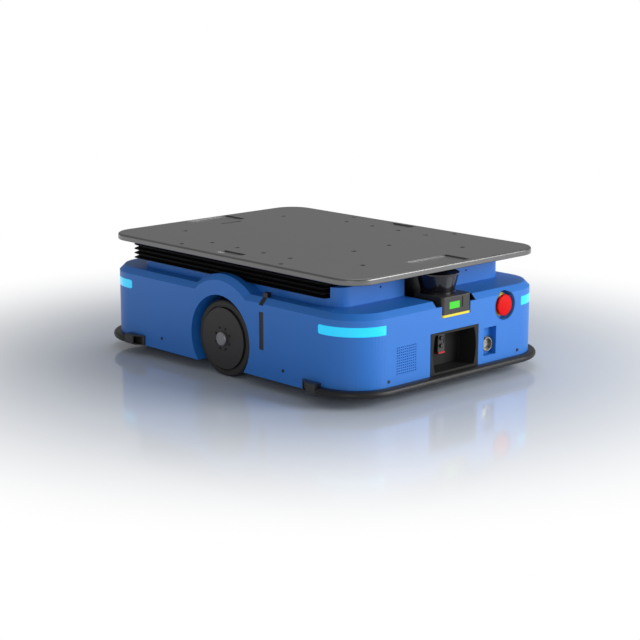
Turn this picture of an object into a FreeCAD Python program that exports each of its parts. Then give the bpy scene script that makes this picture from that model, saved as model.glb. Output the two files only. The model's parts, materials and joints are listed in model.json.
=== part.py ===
"""Lifting autonomous mobile robot: a low wheeled body whose top plate rises on four screw jacks.

Millimetres. +X is forward (the scanner's side), +Y is left, +Z is up.
The origin is on the floor, under the middle of the robot.
"""
import FreeCAD, Part
import math
import os

os.makedirs("parts", exist_ok=True)
Vector = FreeCAD.Vector
AXIS_X = Vector(1, 0, 0)
AXIS_Y = Vector(0, 1, 0)
AXIS_Z = Vector(0, 0, 1)
CENTRE = Vector(0, 0, 0)

# ---- driving dimensions -------------------------------------------------------------------
fit_gap = 0.05            # running clearance on a radius
seat_gap = 0.3            # play between pieces that only lie side by side
# body
body_length = 964.0
body_width = 688.0
body_corner_r = 108.0
ground_gap = 28.0
shoulder_z = 212.0
bevel = 14.0
shell_wall = 3.5
# neck: the raised cover that the bellows stand on
neck_front_setback = 107.0
neck_rear_setback = 98.0
neck_side_setback = 49.0
neck_corner_r = 45.0
neck_height = 21.0
neck_flange = 22.0
brow_height = 27.0
brow_depth = 30.0
brow_screw_y = 153.0
brow_screw_drop = 14.0
# bellows
bellows_overhang = 13.0
bellows_rear_overhang = 20.0
bellows_depth = 12.0
bellows_corner_r = 18.0
bellows_wall = 1.4
bellows_pleats = 4
bellows_flange = 1.0
bellows_brow_gap = 3.0
# lifting platform
plate_end_setback = 13.0
plate_side_setback = 7.0
plate_corner_r = 69.0
plate_thickness = 16.0
plate_edge = 5.0
plate_low_edge = 1.5
bellows_height = 48.0
plate_hole_r = 6.5
plate_hole_edge = 1.0
row_inner_x = 50.0
row_outer_x = 150.0
row_edge = 95.0
side_hole_x = 190.0
side_hole_edge = 27.0
corner_hole_end = 131.0
corner_hole_edge = 159.0
front_pair_x = 190.0
front_pair_y = 63.0
pocket_depth = 3.0
end_pocket_setback = 89.0
end_pocket_length = 80.0
end_pocket_half_width = 72.0
side_pocket_half_length = 40.0
side_pocket_setback = 49.0
side_pocket_width = 32.0
cable_slot_setback = 112.0
cable_slot_width = 11.0
cable_slot_half_length = 35.0
carrier_overhang_x = 60.0
carrier_overhang_y = 52.0
carrier_bar = 60.0
carrier_thickness = 10.0
# screw jacks
jack_setback_x = 242.0
jack_setback_y = 164.0
jack_screw_r = 8.0
jack_screw_gap = 27.0
jack_foot_z = 62.0
jack_foot_r = 22.0
leg_r = 20.0
leg_wall = 6.0
lift_stroke = 60.0
leg_hold = 4.0
nut_height = 16.0
guide_r = 31.0
guide_height = 22.0
guide_drop = 20.0
guide_plate_thickness = 6.0
guide_overhang_x = 45.0
guide_overhang_y = 42.0
guide_window_setback = 50.0
# belt drive between the jacks
pulley_r = 20.0
pulley_z = 112.0
pulley_height = 14.0
pulley_flange = 3.0
pulley_flange_height = 1.5
belt_gap = 0.3
belt_thickness = 2.0
lift_motor_setback = 32.0
lift_motor_r = 30.0
lift_motor_height = 66.0
lift_shaft_r = 7.0
# drive wheels
wheel_r = 97.5
wheel_width = 44.0
wheel_setback = 14.0
tyre_depth = 15.0
tyre_shoulder = 5.0
hub_proud = 6.0
hub_groove = 4.0
hub_groove_depth = 5.0
hub_wall = 10.0
hub_boss_r = 32.0
cap_r = 18.0
cap_height = 6.5
wheel_bolt_r = 3.2
wheel_bolt_ring_r = 28.0
wheel_bolt_count = 8
wheel_bolt_head = 2.0
axle_r = 12.0
arch_gap = 15.0
hump_r = 150.0
well_gap = 3.0
# drive units
carriage_gap = 24.0
carriage_thickness = 10.0
carriage_half_width = 92.0
carriage_height = 96.0
gearbox_r = 45.0
gearbox_length = 52.0
drive_travel_up = 8.0
drive_travel_down = 10.0
post_inset = 16.0
post_setback = 14.0
post_r = 8.0
post_boss_r = 15.0
post_boss_height = 60.0
spring_r = 13.5
spring_groove = 2.5
spring_play = 1.0
spring_ribs = 5
tower_wall = 8.0
tower_depth = 28.0
# casters
caster_setback_x = 107.0
caster_setback_y = 109.0
caster_wheel_r = 37.5
caster_wheel_width = 30.0
caster_trail = 28.0
caster_tread = 7.0
caster_axle_r = 6.0
caster_pin_r = 8.0
caster_nut_r = 13.0
caster_nut_height = 8.0
caster_plate_z = 100.0
caster_crown_r = 26.0
caster_crown_height = 12.0
fork_wall = 4.0
fork_gap = 2.0
fork_leg_width = 26.0
caster_hole_gap = 6.8
# frame
pan_thickness = 6.0
rail_setback_y = 210.0
rail_width = 32.0
rail_setback_x = 42.0
beam_gap = 13.0
beam_width = 30.0
caster_plate_thickness = 6.0
caster_plate_half_length = 74.0
# bumpers
bumper_depth = 20.0
bumper_height = 17.5
bumper_round = 8.5
bumper_end_setback = 114.0
bumper_cap_length = 62.0
bumper_cap_height = 26.0
bumper_cap_taper = 30.0
bumper_cap_tip = 3.0
bumper_cap_wall = 3.0
bumper_cap_round = 4.0
# corner lights
light_drop = 39.0
light_height = 23.0
light_depth = 6.0
light_side_setback = 124.5
light_front_setback = 102.0
light_proud = 0.6
light_corner_r = 6.0
# scanner
bay_gap = 20.0
bay_wall = 2.5
scanner_width = 102.0
scanner_depth = 102.0
scanner_drop = 28.0
scanner_stripe_height = 6.0
scanner_block_height = 44.0
scanner_corner_r = 9.0
scanner_proud = 2.0
optics_setback = 14.0
optics_low_r = 41.0
optics_high_r = 52.0
optics_height = 45.0
optics_wall = 2.5
optics_cap_height = 5.0
mirror_r = 22.0
mirror_height = 32.0
spindle_r = 5.0
spindle_depth = 12.0
display_y = -8.0
display_rise = 21.5
display_width = 36.0
display_height = 17.0
display_depth = 1.0
display_recess = 0.25
# front face fittings
grille_y = -173.0
grille_z = 104.0
grille_columns = 10
grille_rows = 11
grille_pitch_y = 7.0
grille_pitch_z = 6.3
grille_hole_r = 1.9
grille_margin = 3.5
charge_y = -4.0
charge_half_width = 86.0
charge_top_z = 150.5
charge_lip = 6.0
charge_depth = 54.0
charge_back = 4.0
charge_floor_z = 52.0
charge_opening_half = 70.0
charge_bulge = 7.0
contact_half_width = 12.0
contact_height = 50.0
contact_rise = 13.0
contact_depth = 10.0
contact_pin_r = 5.0
contact_pin_pitch = 19.0
contact_pin_count = 2
contact_pin_length = 5.0
contact_strip = 4.0
pocket_y = 126.0
pocket_width = 50.0
pocket_z = 99.5
pocket_height = 75.0
pocket_recess = 18.0
pocket_wall = 2.0
socket_z = 90.0
socket_r = 18.0
socket_wall = 3.0
socket_length = 11.0
socket_floor = 3.0
estop_y = 181.5
estop_drop = 30.0
estop_recess_r = 39.0
estop_recess = 24.0
estop_wall = 2.0
estop_collar_r = 31.0
estop_collar_height = 4.0
estop_head_r = 27.0
estop_head_height = 12.0
estop_proud = 3.0
estop_dome = 3.0
estop_stem_r = 10.0
estop_travel = 5.0
estop_spigot_r = 5.0
estop_spigot_length = 8.0
# side sensors
slot_x = 156.7
slot_width = 15.5
slot_low_z = 97.5
slot_drop = 20.0
sensor_depth = 22.0
sensor_window_recess = 1.5
sensor_rise = 12.0
sensor_frame = 5.0
# screws that hold the shell
screw_head_r = 4.0
screw_head_height = 1.6
screw_r = 2.4
screw_length = 9.0
tab_width = 24.0
tab_thickness = 6.0
shell_screw_inset = 112.0
shell_screw_x = 235.0
shell_screw_z = 59.0
# electrics
battery_motor_gap = 57.0
battery_beam_gap = 110.0
battery_gap = 14.0
battery_height = 118.0
battery_edge = 8.0
control_half_width = 95.0
control_length = 250.0
control_height = 34.0
control_fins = 9
control_fin_height = 6.0

# ---- places that follow from them ---------------------------------------------------------
front_x = body_length / 2
side_y = body_width / 2
deck_z = shoulder_z + bevel
pan_top_z = ground_gap + pan_thickness
# neck, bellows and platform
neck_front_x = front_x - neck_front_setback
neck_rear_x = neck_rear_setback - front_x
neck_half_width = side_y - neck_side_setback
neck_top_z = deck_z + neck_height
neck_open_x = neck_front_x - brow_depth - neck_flange
brow_top_z = neck_top_z + brow_height
bellows_front_x = neck_front_x - brow_depth - bellows_brow_gap
bellows_rear_x = neck_rear_x - bellows_rear_overhang
bellows_half_width = neck_half_width + bellows_overhang
plate_bottom_z = neck_top_z + bellows_height
plate_top_z = plate_bottom_z + plate_thickness
plate_half_x = front_x - plate_end_setback
plate_half_y = side_y - plate_side_setback
row_y = plate_half_y - row_edge
side_hole_y = plate_half_y - side_hole_edge
corner_hole_x = plate_half_x - corner_hole_end
corner_hole_y = plate_half_y - corner_hole_edge
end_pocket_x = plate_half_x - end_pocket_setback
side_pocket_y = plate_half_y - side_pocket_setback
cable_slot_x = cable_slot_setback - plate_half_x
# lift
jack_x = front_x - jack_setback_x
jack_y = side_y - jack_setback_y
rail_y = side_y - rail_setback_y
carrier_bottom_z = plate_bottom_z - carrier_thickness
carrier_half_length = jack_x + carrier_overhang_x
carrier_half_width = jack_y + carrier_overhang_y
jack_screw_top_z = carrier_bottom_z - jack_screw_gap
guide_plate_z = deck_z - guide_drop
guide_plate_half_length = jack_x + guide_overhang_x
guide_plate_half_width = jack_y + guide_overhang_y
guide_window_half_length = jack_x - guide_window_setback
guide_window_half_width = jack_y - guide_window_setback
tower_top_z = guide_plate_z
leg_bottom_z = guide_plate_z + leg_hold - lift_stroke
lift_motor_x = -jack_x - lift_motor_setback
# wheels and drive units
wheel_face_y = side_y - wheel_setback
wheel_inner_y = wheel_face_y - wheel_width
arch_r = wheel_r + arch_gap
hump_high_r = hump_r + bevel
carriage_y = wheel_inner_y - carriage_gap
well_depth = side_y - carriage_y - carriage_thickness - well_gap
post_x = carriage_half_width - post_inset
post_y = carriage_y - post_setback
# casters and frame
caster_x = front_x - caster_setback_x
caster_y = side_y - caster_setback_y
caster_reach = math.hypot(caster_trail + caster_wheel_r, caster_wheel_width / 2)
caster_hole_r = caster_reach + caster_hole_gap
rail_half_length = front_x - rail_setback_x
beam_x = lift_motor_r - lift_motor_x + beam_gap + beam_width / 2
battery_half_width = rail_y - rail_width / 2 - battery_gap
battery_low_x = lift_motor_x + lift_motor_r + battery_motor_gap
battery_high_x = beam_x - beam_width / 2 - battery_beam_gap
# bumpers, lights and fittings
bumper_end_x = front_x - bumper_end_setback
bumper_low_z = ground_gap
bumper_high_z = ground_gap + bumper_height
light_z = shoulder_z - light_drop
light_side_x = front_x - light_side_setback
light_front_y = side_y - light_front_setback
shell_screw_y = side_y - shell_screw_inset
bay_half_width = scanner_width / 2 + bay_gap
bay_rear_x = neck_front_x - brow_depth
scanner_bottom_z = shoulder_z - scanner_drop
scanner_front_x = front_x + scanner_proud
scanner_x = scanner_front_x - scanner_depth / 2
scanner_block_z = scanner_bottom_z + scanner_stripe_height
optics_z = scanner_block_z + scanner_block_height
optics_x = scanner_x - optics_setback
estop_z = shoulder_z - estop_drop
slot_high_z = shoulder_z - slot_drop
display_z = scanner_block_z + display_rise


# ---- small building blocks ----------------------------------------------------------------
def box(x0, x1, y0, y1, z0, z1):
    """A box between two corners."""
    return Part.makeBox(x1 - x0, y1 - y0, z1 - z0, Vector(x0, y0, z0))


def cylinder(x, y, z, radius, height, axis=AXIS_Z):
    """A cylinder that starts at a point and runs along an axis."""
    return Part.makeCylinder(radius, height, Vector(x, y, z), axis)


def cone(x, y, z, r_start, r_end, height, axis=AXIS_Z):
    """A cone frustum that starts at a point and runs along an axis."""
    return Part.makeCone(r_start, r_end, height, Vector(x, y, z), axis)


def rounded_face(x0, x1, y0, y1, radius, z):
    """A flat rectangle with round corners."""
    k = radius * (1 - math.sqrt(0.5))
    corners = [(x1, y1, -1, -1), (x0, y1, 1, -1), (x0, y0, 1, 1), (x1, y0, -1, 1)]
    edges = []
    last = None
    for number, (x, y, sx, sy) in enumerate(corners):
        on_x = Vector(x + sx * radius, y, z)
        on_y = Vector(x, y + sy * radius, z)
        start, end = (on_y, on_x) if number % 2 == 0 else (on_x, on_y)
        middle = Vector(x + sx * k, y + sy * k, z)
        if last is None:
            first = start
        else:
            edges.append(Part.LineSegment(last, start).toShape())
        edges.append(Part.Arc(start, middle, end).toShape())
        last = end
    edges.append(Part.LineSegment(last, first).toShape())
    return Part.Face(Part.Wire(edges))


def rounded_prism(x0, x1, y0, y1, radius, z0, z1):
    """A rectangle with round corners, drawn up from z0 to z1."""
    return rounded_face(x0, x1, y0, y1, radius, z0).extrude(Vector(0, 0, z1 - z0))


def body_prism(inset, z0, z1):
    """The body's plan, moved inwards by inset, drawn up from z0 to z1."""
    x = front_x - inset
    y = side_y - inset
    return rounded_prism(-x, x, -y, y, body_corner_r - inset, z0, z1)


def outline_prism(points, direction):
    """A closed outline of straight lines, drawn along a direction."""
    corners = [Vector(*p) for p in points]
    return Part.Face(Part.makePolygon(corners + [corners[0]])).extrude(direction)


def mirror_y(shape):
    """The same shape on the other side of the robot."""
    return shape.mirror(CENTRE, AXIS_Y)


def mirror_x(shape):
    """The same shape at the robot's other end."""
    return shape.mirror(CENTRE, AXIS_X)


def edges_at(shape, test):
    """The edges whose every vertex passes a test."""
    return [e for e in shape.Edges if e.Vertexes and all(test(v.Point) for v in e.Vertexes)]


def revolve(points, origin, axis):
    """A profile of (radius, height) points, turned about an axis that starts at origin."""
    across = AXIS_X if abs(axis.x) < 0.5 else AXIS_Z
    corners = [origin + across * r + axis * h for r, h in points]
    face = Part.Face(Part.makePolygon(corners + [corners[0]]))
    return face.revolve(origin, axis, 360)


def four_corners(x, y):
    """The names and signs of the four corners of the robot."""
    return [("front_left", x, y), ("front_right", x, -y), ("rear_left", -x, y), ("rear_right", -x, -y)]


# ---- shell --------------------------------------------------------------------------------
def bevelled_body(inset, low_z):
    """The body's outer form with its bevelled shoulder and the two wheel humps."""
    top = deck_z - inset
    solid = body_prism(inset, low_z, top)
    solid = solid.makeChamfer(bevel, edges_at(solid, lambda p: abs(p.z - top) < 0.01))
    edge_y = side_y - inset
    reach = edge_y - bevel - neck_half_width
    arm = cone(0, -edge_y, wheel_r, hump_r - inset, hump_high_r - inset, bevel, AXIS_Y)
    arm = arm.fuse(cylinder(0, -edge_y + bevel, wheel_r, hump_high_r - inset, reach, AXIS_Y))
    arm = arm.common(box(-hump_high_r, hump_high_r, -side_y, side_y, wheel_r, deck_z + hump_high_r))
    return solid.fuse([arm, mirror_y(arm)]).removeSplitter()


def light_ring(grow):
    """The corner lights' band, cut back to the four corners; grow widens its slot."""
    low = light_z - grow
    high = light_z + light_height + grow
    band = body_prism(-light_proud, low, high).cut(body_prism(light_depth, low, high))
    x = light_side_x - grow
    y = light_front_y - grow
    light = band.common(box(x, front_x + 1, y, side_y + 1, low, high))
    ends = [e for e in light.Edges if e.Length < 2 * light_depth
            and all(abs(v.X - x) < 0.01 for v in e.Vertexes)
            and abs(e.Vertexes[0].Z - e.Vertexes[-1].Z) < 0.01]
    return light.makeFillet(light_corner_r, ends)


def barrel_prism(half_width, low_z, high_z, bulge, x0, x1):
    """A window whose two side walls bow outwards, drawn along X."""
    middle_z = (low_z + high_z) / 2
    corners = [Vector(x0, y, z) for y, z in
               ((-half_width, low_z), (half_width, low_z), (half_width, high_z), (-half_width, high_z))]
    right = Vector(x0, half_width + bulge, middle_z)
    left = Vector(x0, -half_width - bulge, middle_z)
    edges = [Part.LineSegment(corners[0], corners[1]).toShape(),
             Part.Arc(corners[1], right, corners[2]).toShape(),
             Part.LineSegment(corners[2], corners[3]).toShape(),
             Part.Arc(corners[3], left, corners[0]).toShape()]
    return Part.Face(Part.Wire(edges)).extrude(Vector(x1 - x0, 0, 0))


def shell_screw_places():
    """Each shell screw's point on the wall and the way its head faces."""
    places = []
    for y in (-shell_screw_y, shell_screw_y):
        places.append((Vector(front_x, y, shell_screw_z), AXIS_X))
        places.append((Vector(-front_x, y, shell_screw_z), AXIS_X * -1))
    for x in (-shell_screw_x, shell_screw_x):
        places.append((Vector(x, side_y, shell_screw_z), AXIS_Y))
        places.append((Vector(x, -side_y, shell_screw_z), AXIS_Y * -1))
    return places


def slot_box(y0, y1, z0, z1, grow=0.0):
    """A box over the side sensor's width, on the right side."""
    half = slot_width / 2 + grow
    return box(slot_x - half, slot_x + half, y0, y1, z0, z1)


def neck_opening(z0, z1):
    """The opening inside the neck's flange, which the lift works through."""
    return rounded_prism(neck_rear_x + neck_flange, neck_open_x, neck_flange - neck_half_width,
                         neck_half_width - neck_flange, neck_corner_r - neck_flange, z0, z1)


def make_body_shell():
    """The painted lower cover: bevelled walls, wheel arches and openings for the fittings."""
    shell = bevelled_body(0, ground_gap).cut(bevelled_body(shell_wall, ground_gap - 1))
    well = cylinder(0, -side_y, wheel_r, arch_r + shell_wall, well_depth, AXIS_Y)
    well = well.common(box(-side_y, side_y, -side_y, 0, ground_gap, deck_z + hump_r))
    arch = cylinder(0, -side_y - 1, wheel_r, arch_r, well_depth + 2, AXIS_Y)
    shell = shell.fuse([well, mirror_y(well)]).cut([arch, mirror_y(arch)])
    # the deck is open under the neck, and the humps give way to the bellows above it
    opening = neck_opening(deck_z - shell_wall - 1, deck_z + 1)
    inner_y = bellows_half_width + bellows_overhang / 4
    over_hump = box(-hump_high_r, hump_high_r, -inner_y, inner_y, neck_top_z, brow_top_z)
    under_neck = box(-hump_high_r, hump_high_r, -neck_half_width, neck_half_width,
                     deck_z, brow_top_z)
    shell = shell.cut([opening, over_hump, under_neck])
    # openings for what is let into the walls
    wall = shell_wall + bevel
    cuts = [box(bay_rear_x, front_x + 1, -bay_half_width, bay_half_width,
                shoulder_z, deck_z + 1)]
    half = scanner_width / 2 + seat_gap
    cuts.append(box(front_x - wall, front_x + 1, -half, half,
                    scanner_bottom_z - seat_gap, shoulder_z + 1))
    cuts.append(box(front_x - wall, front_x + 1, charge_y - charge_half_width,
                    charge_y + charge_half_width, ground_gap - 1, charge_top_z))
    cuts.append(box(front_x - wall, front_x + 1,
                    pocket_y - pocket_width / 2, pocket_y + pocket_width / 2,
                    pocket_z - pocket_height / 2, pocket_z + pocket_height / 2))
    cuts.append(cylinder(front_x - wall - 6, estop_y, estop_z, estop_recess_r, wall + 8, AXIS_X))
    half_y, half_z = grille_half_size()
    cuts.append(box(front_x - wall, front_x + 1, grille_y - half_y, grille_y + half_y,
                    grille_z - half_z, grille_z + half_z))
    light = light_ring(0)
    cuts += [light, mirror_y(light), mirror_x(light), mirror_x(mirror_y(light))]
    slot = slot_box(-side_y - 1, -side_y + wall, slot_low_z, slot_high_z)
    top_slot = slot_box(-side_y - 1, -side_y + bevel + 4, shoulder_z - shell_wall, deck_z + 1)
    cuts += [slot, mirror_y(slot), top_slot, mirror_y(top_slot)]
    for point, way in shell_screw_places():
        cuts.append(Part.makeCylinder(screw_r + fit_gap, wall, point - way * (wall - 2), way))
    return shell.cut(cuts).removeSplitter()


def make_neck_cover():
    """The raised cover: a low wall with an inward flange and a taller brow at the front."""
    def plan(inset, z0, z1):
        return rounded_prism(neck_rear_x + inset, neck_front_x - inset,
                             inset - neck_half_width, neck_half_width - inset,
                             neck_corner_r - inset, z0, z1)
    wall = plan(0, deck_z, neck_top_z).cut(plan(shell_wall, deck_z - 1, neck_top_z - shell_wall))
    wall = wall.cut(neck_opening(deck_z, neck_top_z + 1))
    low = neck_top_z - shell_wall
    brow = plan(0, low, brow_top_z)
    brow = brow.common(box(bay_rear_x, front_x, -side_y, side_y, deck_z, brow_top_z))
    room = plan(shell_wall, low - 1, brow_top_z - shell_wall)
    room = room.common(box(bay_rear_x + shell_wall, front_x, -side_y, side_y, deck_z, brow_top_z))
    floor = plan(shell_wall, low - 1, neck_top_z)
    brow = brow.cut(room.cut(floor))
    bay = box(bay_rear_x, front_x, -bay_half_width, bay_half_width, deck_z - 1, brow_top_z + 1)
    cover = wall.fuse(brow).cut(bay)
    for side in (-1, 1):
        y = side * brow_screw_y
        cover = cover.cut(cylinder(neck_front_x - 2 * shell_wall, y, brow_top_z - brow_screw_drop,
                                   screw_r, 3 * shell_wall, AXIS_X))
    return cover.removeSplitter()


def make_bumper():
    """The front bumper: a round-edged strip that follows the body and stops on its sides."""
    strip = body_prism(-bumper_depth, bumper_low_z, bumper_high_z)
    rim = edges_at(strip, lambda p: True)
    rim = [e for e in rim if abs(e.Vertexes[0].Z - e.Vertexes[-1].Z) < 0.01]
    strip = strip.makeFillet(bumper_round, rim)
    strip = strip.cut(body_prism(0, bumper_low_z - 1, bumper_high_z + 1))
    reach = front_x + bumper_depth + 1
    return strip.common(box(bumper_end_x, reach, -reach, reach, 0, bumper_high_z + 1))


def make_bumper_end_caps():
    """Four hollow clamps that end the bumpers and taper back to the wall."""
    x0 = bumper_end_x - bumper_cap_length
    y0 = side_y
    y1 = side_y + bumper_depth
    cap = outline_prism([(bumper_end_x - seat_gap, y0, bumper_low_z),
                         (bumper_end_x - seat_gap, y1, bumper_low_z),
                         (x0 + bumper_cap_taper, y1, bumper_low_z),
                         (x0, y0 + bumper_cap_tip, bumper_low_z),
                         (x0, y0, bumper_low_z)], Vector(0, 0, bumper_cap_height))
    long_edges = edges_at(cap, lambda p: p.y > y1 - 0.01 and p.x > x0 + bumper_cap_taper - 0.01)
    cap = cap.makeFillet(bumper_cap_round, [e for e in long_edges
                                            if abs(e.Vertexes[0].Z - e.Vertexes[-1].Z) < 0.01])
    t = bumper_cap_wall
    low = bumper_low_z + t
    hollow = outline_prism([(bumper_end_x - seat_gap - t, y0 + t, low),
                            (bumper_end_x - seat_gap - t, y1 - t, low),
                            (x0 + bumper_cap_taper - 1, y1 - t, low),
                            (x0 + bumper_cap_taper - 2 * t, y1 + t, low),
                            (x0 + t, y0 + 3 * t, low),
                            (x0 + 2 * t, y0 + t, low)], Vector(0, 0, bumper_cap_height - 2 * t))
    cap = cap.cut(hollow)
    return [cap, mirror_y(cap), mirror_x(cap), mirror_x(mirror_y(cap))]


def make_lights():
    """The two front corner lights: curved lens strips let into the shell."""
    light = light_ring(0)
    return [light, mirror_y(light)]


def make_shell_screws():
    """The button-head screws that hold the shell to the frame's tabs."""
    screws = []
    for point, way in shell_screw_places():
        head = Part.makeCylinder(screw_head_r, screw_head_height, point, way)
        shank = Part.makeCylinder(screw_r, screw_length, point - way * screw_length, way)
        screws.append(head.fuse(shank).removeSplitter())
    return screws


# ---- scanner ------------------------------------------------------------------------------
def make_scanner_bay():
    """The dark liner of the scanner's bay: a tray that is open at the top and the front."""
    y = bay_half_width
    low = scanner_bottom_z - bay_wall
    outer = box(bay_rear_x, front_x - shell_wall, -y, y, low, deck_z)
    outer = outer.fuse(box(front_x - shell_wall, front_x, -y, y, shoulder_z, deck_z))
    bevel_off = outline_prism([(front_x, -y - 1, shoulder_z), (front_x + 1, -y - 1, deck_z + 1),
                               (front_x - bevel, -y - 1, deck_z + 1), (front_x - bevel, -y - 1, deck_z)],
                              Vector(0, 2 * y + 2, 0))
    outer = outer.cut(bevel_off)
    collar = box(bay_rear_x, neck_front_x, -y, y, deck_z, brow_top_z)
    hollow = box(bay_rear_x + bay_wall, front_x + 1, bay_wall - y, y - bay_wall,
                 scanner_bottom_z, brow_top_z + 1)
    tray = outer.fuse(collar).cut(hollow)
    half = scanner_width / 2 + seat_gap
    ledge = box(front_x - shell_wall, front_x + 1, -half, half, low - 1, deck_z)
    under_shell = box(bay_rear_x, front_x + 1, -y, y, low - 1, shoulder_z)
    shell_zone = bevelled_body(0, ground_gap).cut(bevelled_body(shell_wall, ground_gap - 1))
    return tray.cut([ledge, under_shell.common(shell_zone)]).removeSplitter()


def scanner_plan(z0, z1, inset=0.0):
    """The scanner's square plan with round front corners, drawn up from z0 to z1."""
    half = scanner_width / 2 - inset
    return rounded_prism(scanner_front_x - scanner_depth + inset, scanner_front_x - inset,
                         -half, half, scanner_corner_r - inset, z0, z1)


def make_scanner_base():
    """The scanner's block, with a window let in for the display and a collar for the optics."""
    block = scanner_plan(scanner_block_z, optics_z)
    block = block.makeFillet(2, edges_at(block, lambda p: abs(p.z - optics_z) < 0.01))
    slit = box(scanner_front_x - 2, scanner_front_x + 1, display_y + 26, display_y + 29,
               display_z - 9, display_z + 17)
    bore = cylinder(optics_x, 0, optics_z - spindle_depth - 1, spindle_r + fit_gap, spindle_depth + 2)
    return block.cut([display_box(scanner_front_x + 1), slit, bore])


def display_box(front):
    """The display's place in the scanner, up to a front."""
    return box(scanner_front_x - display_depth, front,
               display_y - display_width / 2, display_y + display_width / 2,
               display_z - display_height / 2, display_z + display_height / 2)


def make_scanner_display():
    """The lit display, a little below the scanner's front face."""
    return display_box(scanner_front_x - display_recess)


def make_scanner_optics():
    """The optics cover: a hollow cone that widens upwards to its cap."""
    top = optics_height
    low = optics_low_r
    high = optics_high_r
    wall = optics_wall
    profile = [(0, top + optics_cap_height), (high + 1, top + optics_cap_height), (high + 1, top + 1),
               (high, top), (low, 2), (low + 4, 0), (low - wall, 0), (high - wall, top - wall),
               (0, top - wall)]
    return revolve(profile, Vector(optics_x, 0, optics_z), AXIS_Z)


def make_scanner_mirror():
    """The spinning mirror head inside the optics cover."""
    head = cylinder(optics_x, 0, optics_z + 1, mirror_r, mirror_height)
    spindle = cylinder(optics_x, 0, optics_z - spindle_depth, spindle_r, spindle_depth + 2)
    blade = box(-3 * mirror_r, 3 * mirror_r, -3 * mirror_r, 3 * mirror_r, 0, 3 * mirror_r)
    blade.rotate(CENTRE, AXIS_Y, 45)
    blade.translate(Vector(optics_x, 0, optics_z + 10))
    return head.cut(blade).fuse(spindle).removeSplitter()


# ---- front fittings -----------------------------------------------------------------------
def grille_half_size():
    """Half the width and half the height of the speaker grille."""
    half_y = (grille_columns - 1) * grille_pitch_y / 2 + grille_margin
    half_z = (grille_rows - 1) * grille_pitch_z / 2 + grille_margin
    return half_y, half_z


def make_speaker_grille():
    """A flush plate drilled with a grid of small six-sided holes."""
    half_y, half_z = grille_half_size()
    plate = box(front_x - shell_wall, front_x, grille_y - half_y, grille_y + half_y,
                grille_z - half_z, grille_z + half_z)
    holes = []
    for column in range(grille_columns):
        y = grille_y + (column - (grille_columns - 1) / 2) * grille_pitch_y
        for row in range(grille_rows):
            z = grille_z + (row - (grille_rows - 1) / 2) * grille_pitch_z
            ring = []
            for corner in range(6):
                turn = math.radians(60 * corner)
                ring.append((front_x - shell_wall - 1, y + grille_hole_r * math.cos(turn),
                             z + grille_hole_r * math.sin(turn)))
            holes.append(outline_prism(ring, Vector(shell_wall + 2, 0, 0)))
    return plate.cut(holes)


def charge_cavity():
    """The space inside the charging port that the charger's nose goes into."""
    top = charge_top_z - charge_lip
    space = barrel_prism(charge_opening_half, charge_floor_z, top, charge_bulge,
                         front_x - charge_depth, front_x + 2)
    space.translate(Vector(0, charge_y, 0))
    return space


def make_charge_port():
    """The charging port's housing, with bowed guide walls round its cavity."""
    housing = box(front_x - charge_depth - charge_back, front_x + 1, charge_y - charge_half_width,
                  charge_y + charge_half_width, ground_gap + seat_gap, charge_top_z - seat_gap)
    housing = housing.cut(box(front_x, front_x + 2, -side_y, side_y, 0, bumper_high_z + seat_gap))
    return housing.cut(charge_cavity()).removeSplitter()


def contact_box(low_z, high_z, depth):
    """A box over the contact block's width, from the port's rear wall forwards."""
    x = front_x - charge_depth
    return box(x, x + depth, charge_y - contact_half_width, charge_y + contact_half_width,
               low_z, high_z)


def contact_middle_z():
    """The height of the contact block's middle."""
    return (charge_floor_z + charge_top_z - charge_lip) / 2 + contact_rise


def make_contact_strips():
    """The red insulating strips at the top and the bottom of the contact block."""
    half = contact_height / 2
    middle_z = contact_middle_z()
    depth = contact_depth + contact_strip / 2
    return [contact_box(middle_z + half, middle_z + half + contact_strip, depth),
            contact_box(middle_z - half - contact_strip, middle_z - half, depth)]


def make_charge_contacts():
    """The contact block on the port's rear wall, with a column of round contacts and a slot."""
    x = front_x - charge_depth
    middle_z = contact_middle_z()
    block = contact_box(middle_z - contact_height / 2, middle_z + contact_height / 2, contact_depth)
    slot_y = charge_y + contact_half_width - 4
    block = block.cut(box(x + contact_depth - 3, x + contact_depth + 1, slot_y - 1, slot_y + 1,
                          middle_z - contact_pin_r, middle_z + 2.5 * contact_pin_r))
    pins = []
    for number in range(contact_pin_count):
        z = middle_z + (number - (contact_pin_count - 1) / 2) * contact_pin_pitch
        pins.append(cylinder(x + contact_depth, charge_y - 2, z, contact_pin_r, contact_pin_length,
                             AXIS_X))
    return block.fuse(pins).removeSplitter()


def make_service_pocket():
    """An open box let into the front wall, which the service socket stands in."""
    half_y = pocket_width / 2
    half_z = pocket_height / 2
    y0, y1 = pocket_y - half_y, pocket_y + half_y
    z0, z1 = pocket_z - half_z, pocket_z + half_z
    outer = box(front_x - pocket_recess - pocket_wall, front_x, y0, y1, z0, z1)
    wall = pocket_wall
    inner = box(front_x - pocket_recess, front_x + 1, y0 + wall, y1 - wall, z0 + wall, z1 - wall)
    hole = cylinder(front_x - pocket_recess - pocket_wall - 1, pocket_y, socket_z,
                    socket_r - socket_wall, pocket_wall + 2, AXIS_X)
    return outer.cut([inner, hole])


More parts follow.
